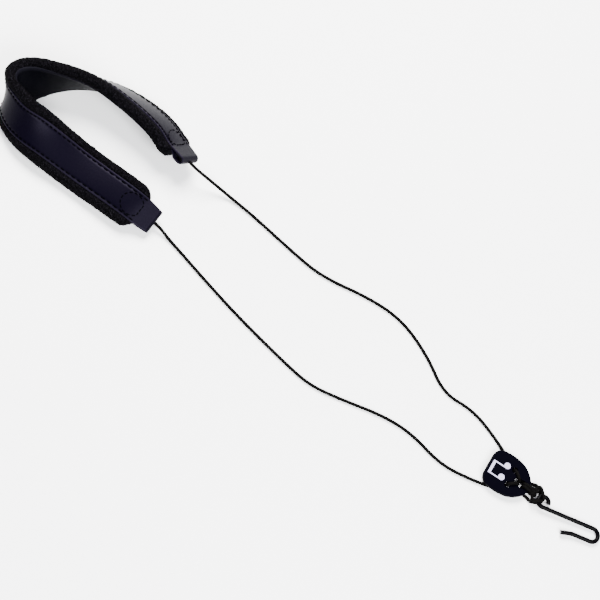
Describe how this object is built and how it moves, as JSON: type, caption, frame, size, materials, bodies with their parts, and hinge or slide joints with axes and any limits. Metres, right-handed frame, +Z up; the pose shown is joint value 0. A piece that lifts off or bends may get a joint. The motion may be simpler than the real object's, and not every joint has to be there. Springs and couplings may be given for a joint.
{
  "type": "saxophone neck strap",
  "caption": "Padded neck strap for a saxophone: curved pad, two cords, cord-adjusting slider plate and an open wire hook hung on doubled cord.",
  "frame": {"origin": "middle of the footprint of the strap without its free cords, on the table it lies on", "axes": "+X from the neck pad to the hook, +Z up from the table, +Y towards the far arm of the pad"},
  "size_m": [0.5957, 0.1315, 0.0404],
  "materials": {
    "leather": "satin",
    "lining": "smooth",
    "mesh": "rough",
    "foam": "matte",
    "thread": "satin",
    "cord": "woven",
    "slider": "satin",
    "print": "printed",
    "coating": "satin",
    "steel": "drawn"
  },
  "bodies": {
    "neck_band": {"leather_strip": "leather", "inner_lining": "lining", "mesh_cover": "mesh", "foam_core": "foam", "stitches_upper": "thread", "stitches_lower": "thread", "end_seam_near": "thread", "end_seam_far": "thread", "loop_knot_near": "cord", "loop_knot_far": "cord", "cord_near": "cord", "cord_far": "cord"},
    "slider": {"slider_plate": "slider", "slider_print": "print", "lacing_near": "cord", "lacing_far": "cord", "tail_near": "cord", "tail_far": "cord", "end_knot": "cord", "strand_out_near": "cord", "strand_out_far": "cord", "strand_back_near": "cord", "strand_back_far": "cord"},
    "hook_loop": {"bight_near": "cord", "bight_far": "cord"},
    "hook": {"hook_wire": "steel", "hook_coating": "coating"}
  },
  "joints": [
    {"name": "slider_slide", "type": "slide", "parent": "neck_band", "child": "slider", "axis": [-1, 0, 0], "range_m": [0, 0.15], "deforming": ["cord_near", "cord_far"]},
    {"name": "hook_draw", "type": "slide", "parent": "slider", "child": "hook_loop", "axis": [1, 0, 0], "range_m": [0, 0.075], "deforming": ["strand_out_near", "strand_out_far", "strand_back_near", "strand_back_far"]},
    {"name": "hook_swing", "type": "hinge", "parent": "hook_loop", "child": "hook", "pos_m": [0.2416, -0.0467, 0.0041], "axis": [0.0444, 0.0094, 0.999], "range_deg": [-60, 60]}
  ],
  "couplings": [
    {"joint": "hook_draw", "follows": "slider_slide", "ratio": 0.5}
  ]
}
